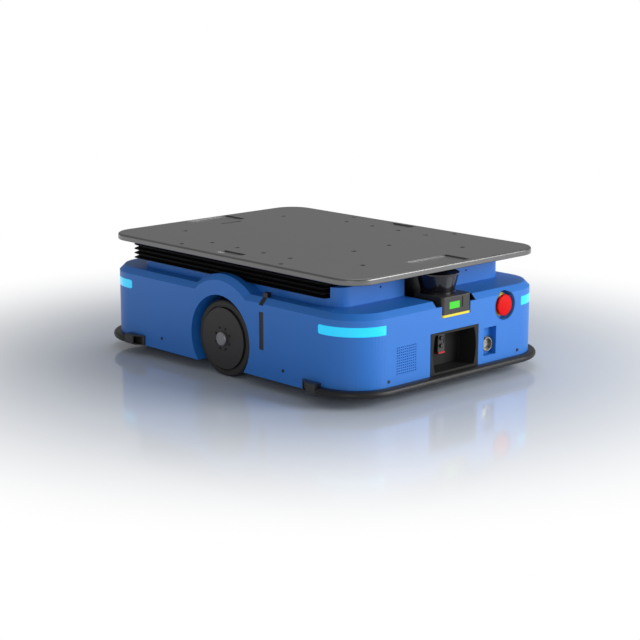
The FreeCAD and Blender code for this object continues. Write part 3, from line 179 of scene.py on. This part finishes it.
finishLook = {
    "bodyBlue": dict(color=(0.016, 0.165, 0.580), roughness=0.46,
                     mottle=0.03, mottleSize=6.0, grain=0.02, grainSize=900.0),
    "plateGrey": dict(color=(0.175, 0.175, 0.175), roughness=0.30, metal=0.80,
                      mottle=0.04, mottleSize=5.0, grain=0.03),
    "frameSteel": dict(color=(0.10, 0.105, 0.11), roughness=0.50, metal=0.4),
    "brightSteel": dict(color=(0.50, 0.51, 0.53), roughness=0.30, metal=1.0, grain=0.02),
    "threadedSteel": dict(color=(0.50, 0.51, 0.53), roughness=0.30, metal=1.0, grain=0.02, thread=0.0025),
    "darkSteel": dict(color=(0.020, 0.021, 0.023), roughness=0.35, metal=0.5),
    "socketMetal": dict(color=(0.30, 0.29, 0.25), roughness=0.30, metal=0.9, grain=0.02),
    "castAluminium": dict(color=(0.36, 0.37, 0.39), roughness=0.45, metal=0.9,
                          grain=0.08, grainSize=450.0),
    "capAluminium": dict(color=(0.24, 0.24, 0.25), roughness=0.36, metal=0.5,
                         grain=0.02, boltColor=(0.012, 0.012, 0.013)),
    "bumperRubber": dict(color=(0.013, 0.012, 0.012), roughness=0.42, shine=0.35,
                         mottle=0.08, mottleSize=14.0, grain=0.05),
    "bellowsCloth": dict(color=(0.003, 0.003, 0.004), roughness=0.45, shine=0.20,
                         mottle=0.15, mottleSize=30.0, grain=0.12),
    "tyreRubber": dict(color=(0.024, 0.021, 0.019), roughness=0.60,
                       mottle=0.12, mottleSize=18.0, grain=0.10),
    "hubPlastic": dict(color=(0.026, 0.024, 0.023), roughness=0.50, mottle=0.08, mottleSize=14.0),
    "blackPlastic": dict(color=(0.008, 0.008, 0.009), roughness=0.40, mottle=0.10),
    "clampPlastic": dict(color=(0.030, 0.028, 0.026), roughness=0.30, mottle=0.10),
    "portPlastic": dict(color=(0.012, 0.012, 0.011), roughness=0.55, mottle=0.05, shine=0.25),
    "scannerPlastic": dict(color=(0.026, 0.025, 0.023), roughness=0.42, mottle=0.05),
    "warningYellow": dict(color=(0.82, 0.66, 0.03), roughness=0.42, mottle=0.04),
    "stopRed": dict(color=(0.66, 0.002, 0.002), roughness=0.50, mottle=0.03, shine=0.12),
    "stripRed": dict(color=(0.45, 0.006, 0.010), roughness=0.40, mottle=0.05),
    "cyanLens": dict(color=(0.0, 0.50, 0.80), roughness=0.25, coat=0.2,
                     mottle=0.04, mottleSize=60.0, glow=0.55),
    "greenScreen": dict(color=(0.03, 0.50, 0.012), roughness=0.30, mottle=0.05, mottleSize=60.0, glow=0.35),
    "opticsGloss": dict(color=(0.008, 0.007, 0.010), roughness=0.14, coat=0.3,
                        mottle=0.08, mottleSize=15.0, grain=0.01),
    "batteryCase": dict(color=(0.06, 0.065, 0.07), roughness=0.50, metal=0.2),
}
finishBase = {"coatRoughness": 0.12, "noiseDetail": 3.0, "grainHeight": 0.001}
finishes = {}


def mixColors(nodes, links, share, first, second):
    # a colour between two, by a share; each end is a plain colour or a socket
    mix = nodes.new("ShaderNodeMix")
    mix.data_type = "RGBA"
    links.new(share, mix.inputs["Factor"])
    for socket, value in (("A", first), ("B", second)):
        if isinstance(value, tuple):
            mix.inputs[socket].default_value = (*value, 1)
        else:
            links.new(value, mix.inputs[socket])
    return mix.outputs["Result"]


def addFinish(name, color, roughness, metal=0.0, coat=0.0, mottle=0.06, mottleSize=20.0, grain=0.04,
              grainSize=700.0, shine=0.5, glow=0.0, thread=0.0, boltColor=None):
    # a slow noise shifts colour and gloss by a share, and a fine noise lifts the surface a little
    material = bpy.data.materials.new(name)
    material.use_nodes = True
    nodes, links = material.node_tree.nodes, material.node_tree.links
    shader = nodes["Principled BSDF"]
    shader.inputs["Metallic"].default_value = metal
    shader.inputs["Specular IOR Level"].default_value = shine
    shader.inputs["Coat Weight"].default_value = coat
    shader.inputs["Coat Roughness"].default_value = finishBase["coatRoughness"]
    place = nodes.new("ShaderNodeTexCoord").outputs["Object"]
    slow = nodes.new("ShaderNodeTexNoise")
    slow.inputs["Scale"].default_value = mottleSize
    slow.inputs["Detail"].default_value = finishBase["noiseDetail"]
    links.new(place, slow.inputs["Vector"])
    dark = tuple(c * (1 - mottle) for c in color)
    light = tuple(min(1.0, c * (1 + mottle)) for c in color)
    tone = mixColors(nodes, links, slow.outputs["Fac"], dark, light)
    if boltColor:
        tone = mixColors(nodes, links, ringShare(nodes, links, place, boltRingLook), tone, boltColor)
    links.new(tone, shader.inputs["Base Color"])
    gloss = nodes.new("ShaderNodeMapRange")
    gloss.inputs["To Min"].default_value = roughness * (1 - mottle)
    gloss.inputs["To Max"].default_value = min(1.0, roughness * (1 + mottle))
    links.new(slow.outputs["Fac"], gloss.inputs["Value"])
    links.new(gloss.outputs[0], shader.inputs["Roughness"])
    fine = nodes.new("ShaderNodeTexNoise")
    fine.inputs["Scale"].default_value = grainSize
    links.new(place, fine.inputs["Vector"])
    bump = nodes.new("ShaderNodeBump")
    bump.inputs["Strength"].default_value = grain
    bump.inputs["Distance"].default_value = finishBase["grainHeight"]
    links.new(fine.outputs["Fac"], bump.inputs["Height"])
    if thread:
        links.new(threadBump(nodes, links, place, thread, threadLook), bump.inputs["Normal"])
    links.new(bump.outputs[0], shader.inputs["Normal"])
    if glow:
        links.new(tone, shader.inputs["Emission Color"])
        shader.inputs["Emission Strength"].default_value = glow
    finishes[name] = material


boltRingLook = {"radius": 0.0215, "edge": 0.0005}


def ringShare(nodes, links, place, look):
    # 0 inside a circle round the wheel's axis and 1 outside it
    low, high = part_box("wheel_tyre_right")
    height = (low.z + high.z) / 2
    across = nodes.new("ShaderNodeVectorMath")
    across.operation = "SUBTRACT"
    across.inputs[1].default_value = (0, 0, height)
    links.new(place, across.inputs[0])
    flat = nodes.new("ShaderNodeVectorMath")
    flat.operation = "MULTIPLY"
    flat.inputs[1].default_value = (1, 0, 1)
    links.new(across.outputs[0], flat.inputs[0])
    length = nodes.new("ShaderNodeVectorMath")
    length.operation = "LENGTH"
    links.new(flat.outputs[0], length.inputs[0])
    share = nodes.new("ShaderNodeMapRange")
    share.inputs["From Min"].default_value = look["radius"] - look["edge"]
    share.inputs["From Max"].default_value = look["radius"] + look["edge"]
    links.new(length.outputs["Value"], share.inputs["Value"])
    return share.outputs[0]


# the wave texture repeats once in waveScale divided by its scale
threadLook = {"waveScale": 0.314, "strength": 0.8, "depthShare": 0.5}


def threadBump(nodes, links, place, pitch, look):
    # bands along Z, one to a pitch, that stand in for a screw's thread
    bands = nodes.new("ShaderNodeTexWave")
    bands.wave_type, bands.bands_direction = "BANDS", "Z"
    bands.inputs["Scale"].default_value = look["waveScale"] / pitch
    links.new(place, bands.inputs["Vector"])
    bump = nodes.new("ShaderNodeBump")
    bump.inputs["Strength"].default_value = look["strength"]
    bump.inputs["Distance"].default_value = pitch * look["depthShare"]
    links.new(bands.outputs["Fac"], bump.inputs["Height"])
    return bump.outputs[0]


for finishName, look in finishLook.items():
    addFinish(finishName, **look)
print("finishes made")


corners = ["front_left", "front_right", "rear_left", "rear_right"]
sides = ["left", "right"]
dressLook = {  # node, finish, width of the eased edge in metres
    "body_shell": ("bodyBlue", 0.0012), "neck_cover": ("bodyBlue", 0.0010), "top_plate": ("plateGrey", 0.0),
    "base_frame": ("frameSteel", 0.0), "shell_screws": ("darkSteel", 0.0004),
    "front_bumper": ("bumperRubber", 0.0), "rear_bumper": ("bumperRubber", 0.0),
    "bumper_end_caps": ("clampPlastic", 0.0008), "scanner_bay": ("blackPlastic", 0.0005),
    "scanner_base": ("scannerPlastic", 0.0010), "scanner_stripe": ("warningYellow", 0.0004),
    "scanner_display": ("greenScreen", 0.0002), "scanner_optics": ("opticsGloss", 0.0006),
    "scanner_mirror": ("brightSteel", 0.0), "speaker_grille": ("bodyBlue", 0.0),
    "charge_port": ("portPlastic", 0.0010), "charge_contacts": ("scannerPlastic", 0.0005),
    "contact_strips": ("stripRed", 0.0003), "service_pocket": ("bodyBlue", 0.0006),
    "service_socket": ("socketMetal", 0.0004), "estop_cup": ("bodyBlue", 0.0006),
    "estop_collar": ("warningYellow", 0.0004), "estop_stem": ("blackPlastic", 0.0),
    "estop_head": ("stopRed", 0.0008),
    "lights_front": ("cyanLens", 0.0006), "lights_rear": ("cyanLens", 0.0006),
    "battery_pack": ("batteryCase", 0.0), "control_unit": ("castAluminium", 0.0),
    "drive_guide_posts": ("brightSteel", 0.0), "lift_motor": ("castAluminium", 0.0),
    "lift_motor_pulley": ("castAluminium", 0.0), "lift_belt": ("blackPlastic", 0.0),
    "lift_guides": ("frameSteel", 0.0), "lift_carrier": ("frameSteel", 0.0),
    "lift_legs": ("brightSteel", 0.0),
}
for corner in corners:
    dressLook["jack_screw_" + corner] = ("threadedSteel", 0.0)
    dressLook["caster_fork_" + corner] = ("brightSteel", 0.0006)
    dressLook["caster_wheel_" + corner] = ("tyreRubber", 0.0006)
for side in sides:
    dressLook["side_sensor_" + side] = ("blackPlastic", 0.0004)
    dressLook["drive_unit_" + side] = ("castAluminium", 0.0)
    dressLook["wheel_tyre_" + side] = ("tyreRubber", 0.0)
    dressLook["wheel_hub_" + side] = ("hubPlastic", 0.0006)
    dressLook["wheel_cap_" + side] = ("capAluminium", 0.0004)


skinLook = {"weld": 2e-6, "flatAngle": 0.4, "sharpAngle": 28, "bevelAngle": 32, "bevelSteps": 2}


def dressNode(node, finishName, edge, look):
    # a welded copy of the node with flat faces joined, round faces smooth and edges slightly eased
    mesh = frame["nodes"][node].data.copy()
    work = bmesh.new()
    work.from_mesh(mesh)
    bmesh.ops.remove_doubles(work, verts=work.verts, dist=look["weld"])
    flatAngle = math.radians(look["flatAngle"])
    bmesh.ops.dissolve_limit(work, angle_limit=flatAngle, verts=work.verts, edges=work.edges)
    work.to_mesh(mesh)
    work.free()
    mesh.shade_smooth()
    mesh.set_sharp_from_angle(angle=math.radians(look["sharpAngle"]))
    mesh.materials.clear()
    mesh.materials.append(finishes[finishName])
    skin = bpy.data.objects.new(node + "_skin", mesh)
    bpy.context.scene.collection.objects.link(skin)
    if edge:
        bevel = skin.modifiers.new("easedEdge", "BEVEL")
        bevel.width = edge
        bevel.segments = look["bevelSteps"]
        bevel.limit_method = "ANGLE"
        bevel.angle_limit = math.radians(look["bevelAngle"])
        bevel.harden_normals = False
    flat = skin.modifiers.new("flatFaces", "WEIGHTED_NORMAL")
    flat.keep_sharp = True
    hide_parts(node)
    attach(skin, frame["nodes"][node]["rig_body"])


for node, (finishName, edge) in dressLook.items():
    dressNode(node, finishName, edge, skinLook)
print("CAD nodes finished:", len(dressLook))


def addGrid(name, points, finishName):
    # points is a (rows, columns, 3) array; quads join neighbours, and each row closes on itself
    rows, columns = points.shape[:2]
    index = np.arange(rows * columns).reshape(rows, columns)
    index = np.hstack([index, index[:, :1]])
    quads = np.stack([index[:-1, :-1], index[:-1, 1:], index[1:, 1:], index[1:, :-1]], -1).reshape(-1, 4)
    mesh = bpy.data.meshes.new(name)
    mesh.from_pydata(points.reshape(-1, 3).tolist(), [], quads.tolist())
    mesh.shade_smooth()
    mesh.materials.append(finishes[finishName])
    piece = bpy.data.objects.new(name, mesh)
    bpy.context.scene.collection.objects.link(piece)
    return piece


def roundedLoop(low, high, radius, inset, perCorner):
    # a rectangle between two corners with round corners, moved inwards by inset; counter-clockwise from above
    reach = radius - np.atleast_1d(inset)[:, None]
    turn = np.linspace(0, math.pi / 2, perCorner)
    loop = []
    for number, (sx, sy) in enumerate([(1, 1), (-1, 1), (-1, -1), (1, -1)]):
        angle = turn + number * math.pi / 2
        x = (high[0] - radius) if sx > 0 else (low[0] + radius)
        y = (high[1] - radius) if sy > 0 else (low[1] + radius)
        loop.append(np.stack([x + reach * np.cos(angle), y + reach * np.sin(angle)], -1))
    return np.concatenate(loop, 1)


bellowsLook = {
    "pleats": 4, "rowsPerPleat": 14, "perCorner": 14, "radius": 0.018, "depth": 0.012, "tip": 0.08,
    "thickness": 0.0012, "lowGap": 0.0008, "highGap": 0.0002,
}


def addBellows(look):
    # each row follows the outline; its inset rises and falls along the height, with narrow tips and folds
    low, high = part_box("bellows")
    count = look["pleats"] * look["rowsPerPleat"] + 1
    height = np.linspace(0, 1, count)
    phase = (height * look["pleats"]) % 1.0
    zigzag = 1 - np.abs(2 * phase - 1)
    zigzag = np.clip((zigzag - look["tip"]) / (1 - 2 * look["tip"]), 0, 1)
    inset = zigzag * look["depth"]
    flat = roundedLoop(low, high, look["radius"], inset, look["perCorner"])
    span = high.z - low.z - look["lowGap"] - look["highGap"]
    z = low.z + look["lowGap"] + height * span
    points = np.concatenate([flat, np.repeat(z[:, None, None], flat.shape[1], 1)], -1)
    piece = addGrid("bellows_cloth", points, "bellowsCloth")
    wall = piece.modifiers.new("wall", "SOLIDIFY")
    wall.thickness = look["thickness"]
    wall.offset = -1
    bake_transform(piece)
    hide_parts("bellows")


addBellows(bellowsLook)
print("bellows made")


springLook = {"ribs": 5, "rowsPerRib": 10, "depth": 0.0025, "columns": 40, "boreShare": 0.6}


def addRibSprings(side, look):
    # two sleeves; the radius swells once for each rib along the height
    low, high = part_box("drive_springs_" + side)
    radius = (high.y - low.y) / 2
    middleY = (low.y + high.y) / 2
    count = look["ribs"] * look["rowsPerRib"] + 1
    height = np.linspace(0, 1, count)
    swell = radius - look["depth"] * (0.5 + 0.5 * np.cos(2 * math.pi * look["ribs"] * height))
    bore = [radius * look["boreShare"]]
    radii = np.concatenate([bore, swell, bore])
    levels = np.concatenate([[0], height, [1]]) * (high.z - low.z) + low.z
    turn = np.linspace(0, 2 * math.pi, look["columns"], endpoint=False)
    for name, x in (("front", high.x - radius), ("rear", low.x + radius)):
        across = x + radii[:, None] * np.cos(turn)
        over = middleY + radii[:, None] * np.sin(turn)
        points = np.stack([across, over, np.repeat(levels[:, None], len(turn), 1)], -1)
        piece = addGrid("rib_spring_" + name + "_" + side, points, "tyreRubber")
        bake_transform(piece)
        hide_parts("drive_springs_" + side)


for side in sides:
    addRibSprings(side, springLook)
print("springs made")
